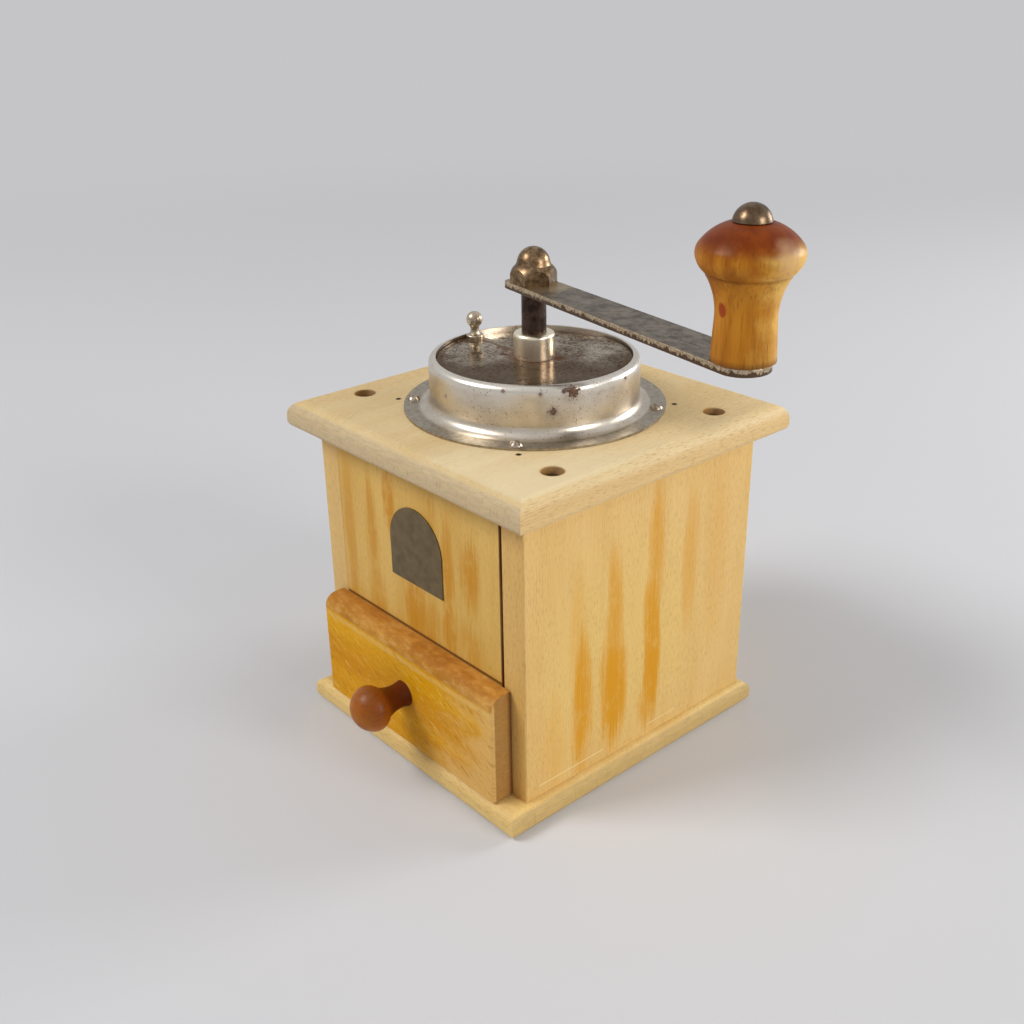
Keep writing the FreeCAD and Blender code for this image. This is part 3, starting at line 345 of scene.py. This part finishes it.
def drawerFrontWearAndShade(finish, colour, point, places, look):  # heights go down from its top
    x, y, z = places
    top = ends("drawer_front", "z")[1]
    side = ends("drawer_front", "x")[1]
    front, back = [-end for end in ends("drawer_front", "y")]
    patch = finish.noise(point, (0.035, 0.05, 0.06), 4.0, 0.65)
    lowerRight = (x + (30 - z) * 0.5 - 14) * 0.034  # the face is worn paler there
    worn = (lowerRight + (patch - 0.5) * 2.2).rise(0.2, 1.0)
    face = (-y).rise(*[front - depth for depth in look["faceBehind"]])
    colour = finish.mix(worn * face * 0.8, colour, look["worn"])
    inEnds = x.size().fall(side - 0.4, side - 0.1)
    band = z.rise(*[top - down for down in look["bandDown"]]) * inEnds  # the top edge took more varnish
    colour = finish.mix(band * 0.8, colour, finish.mix(patch.rise(0.35, 0.65), *look["band"]))
    grime = finish.noise(point, (0.16, 0.35, 0.35), 6.0, 0.7)
    colour = finish.mix(grime.rise(0.48, 0.62) * band * 0.5, colour, look["grime"])
    colour = finish.mix(grime.fall(0.36, 0.5) * band * 0.35, colour, look["rubbedAndSheen"])
    redder = z.rise(top - look["redderDown"], top) * (patch - 0.5 + x * 0.003).size().rise(0.02, 0.2) * inEnds
    colour = finish.mix(redder * 0.4, colour, look["redder"])
    line = (z - (top - look["lineDown"]) + (patch - 0.5) * 3).size().fall(0.3, 1.6) * face
    colour = finish.mix(line * 0.4, colour, look["faceLine"])
    slope = x * 0.5 + z  # the scrapes run a little downhill
    tilted = finish.node("ShaderNodeCombineXYZ", None, {0: x * 0.16, 1: slope * 0.75, 2: 4.0})
    scrapes = finish.noise(tilted, 1.0, 4.0, 0.65, 0.6)
    scraped = face * z.fall(*[top - down for down in look["scrapeDown"]])
    colour = finish.mix(scrapes.rise(0.56, 0.66) * scraped * 0.5, colour, look["scrapeDark"])
    colour = finish.mix(scrapes.fall(0.34, 0.44) * scraped * 0.4, colour, look["scrapePale"])
    dirt = x.size().rise(side - 0.5, side) * (-y).fall(back - 0.1, back + 1.7)  # painted shade in the gap at the back of its ends
    return finish.mix(dirt * 0.7, colour, look["backEndShade"])


dress(beechFinish("drawer front", drawerFront, drawerFrontWearAndShade), "drawer_front")

knob = dict(neck=(0.105, 0.016, 0.0015), head=(0.37, 0.10, 0.004), amber=(0.42, 0.145, 0.01),
            streak=(0.09, 0.018, 0.002), paintedShade=(0.12, 0.022, 0.003), headBehind=(13.2, 8.2),
            rough=0.36, gloss=0.2, coat=0.08)


def knobFinish():
    finish = Finish("drawer knob varnish")
    point = finish.millimetres()
    x, y, z = finish.parts(point)
    front = -ends("drawer_knob", "y")[0]
    streak = finish.noise(point, (0.9, 0.09, 0.9), 4.0, 0.6)
    patch = finish.noise(point, (0.16, 0.16, 0.16), 3.0, 0.6)
    head = (-y).rise(*[front - depth for depth in knob["headBehind"]])
    colour = finish.mix(head, knob["neck"], knob["head"])
    colour = finish.mix(patch.rise(0.4, 0.65) * 0.7 * head, colour, knob["amber"])
    colour = finish.mix(streak.rise(0.5, 0.75) * 0.45, colour, knob["streak"])
    paintedShade = ((x + z - 30.0) * 0.09 + (patch - 0.5)).rise(0.0, 1.0)  # painted shade: darker towards the upper right
    colour = finish.mix(paintedShade * 0.65, colour, knob["paintedShade"])
    finish.set(baseColor=colour, roughness=knob["rough"] + streak * 0.15, specularIorLevel=knob["gloss"],
               coatWeight=knob["coat"], coatRoughness=0.2, normal=finish.bump(streak, 0.00005, 0.4))
    return finish


dress(knobFinish(), "drawer_knob")

# Heights go up from the handle's foot or down from its top, in millimetres.
handle = dict(
    amber=((0.52, 0.205, 0.016), (0.36, 0.115, 0.007)), red=((0.235, 0.045, 0.003), (0.155, 0.024, 0.0015)),
    redFrom=9.7, redTo=3.1, palm=(0.80, 0.50, 0.11), low=(0.33, 0.115, 0.008), fibre=(0.15, 0.045, 0.004),
    rubbedAndSheen=(0.62, 0.40, 0.24), highlightPlace=(14.1, -2.0, 6.3), groove=(0.14, 0.045, 0.01), grooveDown=13.3,
    foot=(0.10, 0.035, 0.01), mark=(0.30, 0.035, 0.005), markPlace=(-1.4, -8.6, 15.0),
    crack=(0.05, 0.02, 0.008), rough=0.3, gloss=0.1, coat=0.06)


def handleFinish():
    finish = Finish("handle varnish")
    foot, top = ends("crank_handle", "z")
    centre = [sum(ends("crank_handle", axis)) / 2 for axis in "xy"]
    point = finish.shift(finish.millimetres(), (-centre[0], -centre[1], 0.0))
    x, y, z = finish.parts(point)
    fibres = finish.noise(point, (1.5, 1.5, 0.06), 4.0, 0.6)
    bands = finish.noise(point, (0.22, 0.22, 0.02), 3.0, 0.6)
    patch = finish.noise(point, (0.12, 0.12, 0.12), 3.0, 0.6)
    amber = finish.mix(bands.rise(0.35, 0.65), *handle["amber"])
    red = finish.mix(bands.rise(0.3, 0.7), *handle["red"])
    crown = (z + (patch - 0.5) * 5).rise(top - handle["redFrom"], top - handle["redTo"])
    colour = finish.mix(crown, amber, red)
    palm = ((x * 0.75 + y * 0.45) * 0.09 + (patch - 0.5) * 1.6).rise(0.15, 1.1)  # paler towards the right side: partly rubbed by the palm, partly painted sheen of the light from that side
    colour = finish.mix(palm * 0.8 * crown.fall(0.3, 1.0), colour, handle["palm"])
    low = (z + (patch - 0.5) * 8).fall(foot + 2.7, foot + 13.7)
    colour = finish.mix(low * 0.3, colour, handle["low"])
    colour = finish.mix(fibres.rise(0.52, 0.72) * 0.45, colour, handle["fibre"])
    # painted highlight: a soft pale patch on the crown's right, where the light from that side reflects
    right, near, down = handle["highlightPlace"]
    squat = finish.stretch(point, (1.0, 1.0, 0.8))
    rubbedAndSheen = finish.distance(squat, (right, near, (top - down) * 0.8))
    colour = finish.mix((rubbedAndSheen + (patch - 0.5) * 4).fall(1.6, 5.8) * 0.45, colour, handle["rubbedAndSheen"])
    groove = (z - (top - handle["grooveDown"])).size().fall(0.25, 0.8)
    colour = finish.mix(groove * 0.35, colour, handle["groove"])
    colour = finish.mix(z.fall(foot + 0.1, foot + 2.1) * 0.6, colour, handle["foot"])
    right, near, up = handle["markPlace"]
    squat = finish.stretch(point, (1.0, 1.0, 0.7))
    mark = finish.distance(squat, (right, near, (foot + up) * 0.7)).fall(1.2, 1.7)
    colour = finish.mix(mark * 0.9, colour, handle["mark"])
    cracks = finish.noise(point, (2.4, 2.4, 0.05), 2.0).rise(0.66, 0.72) * z.fall(foot + 1.7, foot + 11.7)
    colour = finish.mix(cracks * 0.8, colour, handle["crack"])
    finish.set(baseColor=colour, roughness=handle["rough"] + fibres * 0.2, specularIorLevel=handle["gloss"],
               coatWeight=handle["coat"], coatRoughness=0.25,
               normal=finish.bump(fibres - cracks, 0.00008, 0.5))
    return finish


dress(handleFinish(), "crank_handle")
print("knob and handle are finished")

rustTones = ((0.045, 0.017, 0.007), (0.17, 0.06, 0.018))


def rustOn(finish, colour, point, spots, amount):  # fine specks everywhere, and larger spots at their places
    specks = finish.noise(point, 0.9, 3.0, 0.65)
    grown = finish.noise(point, 0.16, 2.0, 0.6)
    mask = (specks + (grown - 0.5) * 0.6).rise(0.70, 0.76) * amount
    for place, radius, strength in spots:
        near = finish.distance(point, place) * (1 / radius)
        ragged = (near + (specks - 0.5) * 2.4).fall(0.55, 1.0) * strength
        halo = (near + (specks - 0.5) * 1.5).fall(0.7, 1.8) * 0.35 * strength
        mask = mask.most(ragged.most(halo))
    return finish.mix(mask, colour, finish.mix(specks.rise(0.35, 0.65), *rustTones)), mask


# A rust spot is its place, its radius in millimetres and its strength.
housing = dict(
    nickel=((0.68, 0.62, 0.53), (0.54, 0.47, 0.38)), flange=((0.375, 0.33, 0.255), (0.235, 0.195, 0.142)),
    rim=(0.80, 0.76, 0.68), speckle=(0.12, 0.085, 0.055), rough=0.31, rust=0.55,
    flangeUp=(0.9, 1.8), flangeRadius=(40.0, 41.2), rimDown=(4.1, 2.3),
    spots=(((34.1, -14.0, 139.0), 2.6, 0.95), ((33.4, -16.4, 139.8), 1.6, 0.9),
           ((30.9, -20.2, 132.7), 1.7, 0.9), ((28.5, -23.3, 138.6), 0.9, 0.8),
           ((19.6, -31.3, 139.7), 0.9, 0.8), ((36.0, 8.1, 138.7), 1.0, 0.9),
           ((-3.6, -36.7, 133.3), 0.8, 0.7), ((-36.5, 6, 132), 2.0, 0.8), ((5, 36.7, 136), 2.4, 0.8)))


def housingFinish():
    finish = Finish("worn nickel housing")
    point = finish.millimetres()
    x, y, z = finish.parts(point)
    radius = (x * x + y * y) ** 0.5
    bottom, top = ends("bean_housing", "z")
    cloud = finish.noise(point, (0.07, 0.07, 0.10), 4.0, 0.6)
    turned = finish.noise(point, (0.05, 0.05, 3.2), 2.0)  # fine rings from the lathe
    dull = finish.noise(point, 0.5, 4.0, 0.7)
    colour = finish.mix(cloud.rise(0.3, 0.7), *housing["nickel"])
    flange = z.fall(*[bottom + up for up in housing["flangeUp"]]) * radius.rise(*housing["flangeRadius"])
    colour = finish.mix(flange * 0.85, colour, finish.mix(dull.rise(0.4, 0.65), *housing["flange"]))
    rim = z.rise(*[top - down for down in housing["rimDown"]])
    colour = finish.mix(rim * 0.6, colour, housing["rim"])
    speckled = finish.noise(point, 1.5, 2.0).rise(0.64, 0.69) * cloud.rise(0.3, 0.55)
    colour = finish.mix(speckled * 0.75 * flange.fall(0.2, 0.8), colour, housing["speckle"])
    colour, rust = rustOn(finish, colour, point, housing["spots"], housing["rust"])
    finish.set(baseColor=colour, metallic=1 - rust * 0.85,
               roughness=housing["rough"] + (cloud - 0.5) * 0.2 + rust * 0.45 + flange * 0.06,
               normal=finish.bump(turned * 0.4 + cloud * 1.5 + rust * 2, 0.00004, 0.5))
    return finish


dress(housingFinish(), "bean_housing")

# The lid's rust spots lie on its top, so each place has no height. Glance tints steel seen at a low angle.
lid = dict(
    steel=((0.68, 0.62, 0.53), (0.34, 0.28, 0.22)), near=(0.145, 0.105, 0.078), pit=(0.05, 0.033, 0.024),
    grit=(0.085, 0.04, 0.018), dot=(0.03, 0.012, 0.006), blot=(0.10, 0.055, 0.03), close=(0.11, 0.042, 0.016),
    track=(0.10, 0.05, 0.025), trail=(0.17, 0.06, 0.02), ring=(0.13, 0.06, 0.03), edge=(0.10, 0.05, 0.025),
    trackRadius=32.2, ringRadius=10.5, edgeRadius=33.2,
    glance=(0.66, 0.62, 0.57), gloss=0.15, rough=0.2, rust=0.7,
    spots=(((8.3, 4.3), 2.4, 0.9), ((-8.9, -6.5), 1.8, 0.9), ((-11, -3.5), 1.2, 0.8),
           ((24.3, -3.2), 1.1, 0.8), ((16.9, -19.1), 0.9, 0.8), ((6, 31), 1.5, 0.7), ((27, 6), 1.0, 0.7),
           ((-20, -12), 0.9, 0.7), ((20, 9), 0.8, 0.7), ((12, -12), 0.8, 0.7)))


def lidFinish():
    finish = Finish("worn lid steel")
    point = finish.millimetres()
    x, y, _ = finish.parts(point)
    radius = (x * x + y * y) ** 0.5
    top = ends("lid_shutter", "z")[1]
    cloud = finish.noise(point, 0.09, 4.0, 0.65)
    pits = finish.noise(point, 1.6, 2.0)
    colour = finish.mix(cloud.rise(0.3, 0.7), *lid["steel"])
    near = (x * 0.74 - y * 0.67 - 6) * 0.05  # browner towards the front: partly rust, partly a painted reflection of the brown collar
    colour = finish.mix((near + (cloud - 0.5) * 1.2).rise(-0.7, 0.5) * 0.9, colour, lid["near"])
    colour = finish.mix(pits.rise(0.57, 0.65) * 0.7, colour, lid["pit"])
    grit = finish.noise(point, 0.8, 3.0, 0.65, moved=(5.0, 9.0, 0.0)) + (cloud - 0.5) * 0.5
    colour = finish.mix(grit.rise(0.55, 0.61) * 0.85, colour, lid["grit"])
    dots = finish.noise(point, 1.0, 2.0, moved=(8.0, 1.0, 0.0)) + (cloud - 0.5) * 0.3
    dots = dots.rise(0.58, 0.62)
    colour = finish.mix(dots * 0.9, colour, lid["dot"])
    blots = finish.noise(point, 0.42, 4.0, 0.7, moved=(2.0, 5.0, 0.0))
    colour = finish.mix(blots.rise(0.55, 0.60) * 0.65, colour, lid["blot"])
    close = (radius + (cloud - 0.5) * 16).fall(12, 27) * finish.noise(point, 0.6, 4.0, 0.7).rise(0.54, 0.59)
    colour = finish.mix(close * 0.8, colour, lid["close"])  # blots gather around the collar
    track = (radius - lid["trackRadius"] + (cloud - 0.5) * 0.6).size().fall(0.15, 0.5) * (-x).rise(2, 16)
    colour = finish.mix(track * 0.7, colour, lid["track"])  # rubbed where the lid turns under the rim
    trail = (y + 1.2 + (cloud - 0.5) * 6).size().fall(0.3, 1.6) * (-x).rise(6, 9) * (-x).fall(24, 28)
    colour = finish.mix(trail * 0.65, colour, lid["trail"])  # a rusty run from the knob to the collar
    ring = (radius + (cloud - 0.5) * 5).fall(lid["ringRadius"] - 1.9, lid["ringRadius"])
    colour = finish.mix(ring * 0.75, colour, lid["ring"])
    edge = (radius + (pits - 0.5) * 6 + (cloud - 0.5) * 6).rise(lid["edgeRadius"] - 1.6, lid["edgeRadius"])
    colour = finish.mix(edge * 0.75, colour, lid["edge"])
    spots = [((*place, top), size, strength) for place, size, strength in lid["spots"]]
    colour, rust = rustOn(finish, colour, point, spots, lid["rust"])
    rough = lid["rough"] + (cloud - 0.5) * 0.2 + rust * 0.4 + ring * 0.2 + grit.rise(0.6, 0.72) * 0.3
    finish.set(baseColor=colour, metallic=1 - rust * 0.8 - ring * 0.3 - dots * 0.7, roughness=rough,
               specularTint=lid["glance"], specularIorLevel=lid["gloss"],
               normal=finish.bump(cloud - pits.rise(0.62, 0.72) * 0.3, 0.00012, 0.6))
    return finish


dress(lidFinish(), "lid_shutter", "hopper_cover")

brightMetals = {
    "collar nickel": dict(
        light=(0.95, 0.86, 0.69), dark=(0.87, 0.75, 0.56), rough=0.3, rust=0.6, mottle=0.4,
        on=["bearing_collar"]),
    "knob nickel": dict(
        light=(0.62, 0.53, 0.40), dark=(0.38, 0.30, 0.21), rough=0.3, rust=0.5, mottle=0.4,
        on=["lid_knob"]),
    "screw nickel": dict(
        light=(0.50, 0.43, 0.34), dark=(0.22, 0.17, 0.12), rough=0.3, rust=0.9, mottle=0.9,
        on=["flange_screws"]),
    "nut nickel": dict(
        light=(0.30, 0.20, 0.11), dark=(0.115, 0.068, 0.035), rough=0.33, rust=1.0, mottle=0.45,
        on=["acorn_nut"]),
    "handle pin steel": dict(
        light=(0.19, 0.13, 0.08), dark=(0.10, 0.06, 0.033), rough=0.32, rust=0.5, mottle=0.3,
        on=["handle_pin"]),
    "dark shaft steel": dict(
        light=(0.085, 0.055, 0.042), dark=(0.035, 0.022, 0.016), rough=0.4, rust=0.8, mottle=0.2,
        on=["drive_shaft", "burr_pin"]),
    "screw steel": dict(
        light=(0.20, 0.17, 0.15), dark=(0.09, 0.065, 0.05), rough=0.42, rust=0.9, mottle=0.4,
        on=["top_board_screws", "base_board_screws", "upper_bridge_screws", "burr_housing_screws",
            "lower_bridge_screws", "adjusting_screw", "thrust_ball"]),
    "ground burr steel": dict(
        light=(0.42, 0.41, 0.40), dark=(0.28, 0.27, 0.26), rough=0.35, rust=0.5, mottle=0.2,
        on=["outer_burr", "inner_burr"]),
}


def brightFinish(name, look):
    finish = Finish(name)
    point = finish.millimetres()
    cloud = finish.noise(point, look["mottle"], 4.0, 0.65)
    colour = finish.mix(cloud.rise(0.35, 0.65), look["light"], look["dark"])
    colour, rust = rustOn(finish, colour, point, [], look["rust"])
    finish.set(baseColor=colour, metallic=1 - rust * 0.8,
               roughness=look["rough"] + (cloud - 0.5) * 0.2 + rust * 0.4,
               normal=finish.bump(cloud, 0.00008, 0.4))
    return finish


for name, look in brightMetals.items():
    dress(brightFinish(name, look), *look["on"])

castIron = dict(grey=((0.075, 0.07, 0.065), (0.11, 0.075, 0.055)), metallic=0.6, rough=0.6)


def ironFinish():
    finish = Finish("cast iron")
    point = finish.millimetres()
    sand = finish.noise(point, 1.4, 4.0, 0.7)
    cloud = finish.noise(point, 0.08, 3.0, 0.6)
    colour = finish.mix(cloud.rise(0.35, 0.65), *castIron["grey"])
    finish.set(baseColor=colour, metallic=castIron["metallic"],
               roughness=castIron["rough"] + (sand - 0.5) * 0.2,
               normal=finish.bump(sand, 0.0003, 0.7))
    return finish


dress(ironFinish(), "burr_housing", "upper_bridge", "lower_bridge")

arm = dict(turn=9.4, steel=((0.25, 0.21, 0.16), (0.10, 0.078, 0.055)), grit=(0.07, 0.055, 0.045),
           brass=(0.42, 0.33, 0.20), brassReach=(11, 17), edge=((0.58, 0.47, 0.33), (0.33, 0.23, 0.14)),
           bite=(0.085, 0.05, 0.03), rough=0.34,
           scratch=(0.06, 0.05, 0.045), scratchAlong=(71, 91), scratchAcross=-1.6)


def armFinish():
    finish = Finish("mottled arm")
    turn = math.radians(arm["turn"])
    point = finish.millimetres()
    x, y, z = finish.parts(point)
    along = x * math.cos(turn) - y * math.sin(turn)
    across = x * math.sin(turn) + y * math.cos(turn)
    mottle = finish.noise(point, 0.22, 5.0, 0.7)
    fine = finish.noise(point, 1.5, 3.0, 0.6)
    grit = fine.rise(0.56, 0.7)
    colour = finish.mix(mottle.rise(0.35, 0.65), *arm["steel"])
    colour = finish.mix(grit * 0.55, colour, arm["grit"])
    brass = (along + (mottle - 0.5) * 8).fall(*arm["brassReach"])
    colour = finish.mix(brass * 0.7, colour, arm["brass"])
    edge = pick(finish.facing(), "z").size().fall(0.35, 0.8)
    colour = finish.mix(edge, colour, finish.mix(fine.rise(0.4, 0.6), *arm["edge"]))
    notch = finish.noise(point, (0.6, 0.6, 0.25), 4.0, 0.65)
    up = z - ends("crank_arm", "z")[0]
    bitten = (notch * 5.0 - 0.95 - up).rise(0.1, 0.5)  # dark bites along the lower side
    colour = finish.mix(edge * bitten * 0.92, colour, arm["bite"])
    wave = (finish.noise(point, (0.25, 0.25, 0.25), 2.0) - 0.5) * 7
    first, last = arm["scratchAlong"]
    scratch = (across - arm["scratchAcross"] + wave).size().fall(0.15, 0.5)
    scratch = scratch * along.rise(first, first + 4) * along.fall(last - 3, last)
    colour = finish.mix(scratch * 0.75, colour, arm["scratch"])
    finish.set(baseColor=colour, metallic=1 - grit * 0.5, roughness=arm["rough"] + mottle * 0.16,
               normal=finish.bump(mottle + fine * 0.5, 0.00008, 0.5))
    return finish


dress(armFinish(), "crank_arm")

plate = dict(brown=((0.15, 0.10, 0.035), (0.10, 0.066, 0.022)), metallic=0.3, rough=0.42)


def plateFinish():
    finish = Finish("blank label plate")
    cloud = finish.noise(finish.millimetres(), 0.25, 4.0, 0.6)
    colour = finish.mix(cloud.rise(0.3, 0.7), *plate["brown"])
    finish.set(baseColor=colour, metallic=plate["metallic"], roughness=plate["rough"] + (cloud - 0.5) * 0.2,
               normal=finish.bump(cloud, 0.00006, 0.4))
    return finish


dress(plateFinish(), "badge_plate")
print("metal parts are finished")

studio = dict(
    floor=(0.62, 0.62, 0.635), backdrop=(0.56, 0.56, 0.57), zenith=(0.72, 0.72, 0.73), worldLight=0.56,
    fadeFrom=350, fadeTo=1500, aim=(0.0, 0.0, 0.09),
    lamps=dict(key=dict(place=(-0.9, -1.5, 1.75), power=33.0, size=0.9),
               side=dict(place=(2.1, 0.35, 0.85), power=21.0, size=0.9),
               window=dict(place=(0.5, 1.35, 0.42), power=11.0, size=0.55)))


def makeFloor():  # it fades into the backdrop far from the mill
    bpy.ops.object.select_all(action="DESELECT")
    bpy.ops.mesh.primitive_plane_add(size=60, location=(0, 0, 0))
    floor = bpy.context.object
    floor.name = "floor"
    finish = Finish("pale floor")
    finish.set(baseColor=studio["floor"], roughness=0.9)
    away = finish.distance(finish.millimetres(), (0.0, 0.0, 0.0)).rise(studio["fadeFrom"], studio["fadeTo"])
    glow = finish.node("ShaderNodeEmission", None, {"Color": studio["backdrop"]})
    shaded = Tone(finish, finish.surface.outputs[0])
    both = finish.node("ShaderNodeMixShader", None, {0: away * finish.backdropRays(), 1: shaded, 2: glow})
    finish.feed(finish.output.inputs["Surface"], both)
    floor.data.materials.append(finish.material)


def makeLight(name, place, power, size):
    light = bpy.data.lights.new(name, "AREA")
    light.energy = power
    light.size = size
    lamp = bpy.data.objects.new(name, light)
    bpy.context.scene.collection.objects.link(lamp)
    lamp.location = place
    towards = Vector(studio["aim"]) - Vector(place)
    lamp.rotation_euler = towards.to_track_quat("-Z", "Y").to_euler()


def makeWorld():
    world = bpy.data.worlds.new("studio")
    bpy.context.scene.world = world
    sky = Mixer(world)
    height = pick(sky.parts(sky.node("ShaderNodeTexCoord", output="Generated")), "z")
    colour = sky.mix(height.rise(0.1, 0.9), studio["backdrop"], studio["zenith"])
    strength = sky.backdropRays() * (1 - studio["worldLight"]) + studio["worldLight"]
    background = sky.node("ShaderNodeBackground", None, {"Color": colour, "Strength": strength})
    sky.node("ShaderNodeOutputWorld", None, {"Surface": background})


view = dict(place=(0.29625, -0.26827, 0.26691), azimuth=49.086, elevation=25.042, roll=-1.008, lens=42.02)


def makeCamera():
    turn = math.radians(view["azimuth"])
    lift = math.radians(view["elevation"])
    roll = math.radians(view["roll"])
    right = Vector((math.cos(turn), math.sin(turn), 0))
    back = Vector((math.sin(turn) * math.cos(lift), -math.cos(turn) * math.cos(lift), math.sin(lift)))
    up = back.cross(right)
    rolledRight = right * math.cos(roll) + up * math.sin(roll)
    rolledUp = up * math.cos(roll) - right * math.sin(roll)
    data = bpy.data.cameras.new("camera")
    data.lens = view["lens"]
    data.sensor_width = 36
    data.clip_start = 0.01
    camera = bpy.data.objects.new("camera", data)
    bpy.context.scene.collection.objects.link(camera)
    turned = Matrix((rolledRight, rolledUp, back)).transposed().to_4x4()
    camera.matrix_world = Matrix.Translation(view["place"]) @ turned
    bpy.context.scene.camera = camera


makeFloor()
for name, lamp in studio["lamps"].items():
    makeLight(name, **lamp)
makeWorld()
makeCamera()
bpy.context.scene.view_settings.view_transform = "Standard"
print("studio is set")
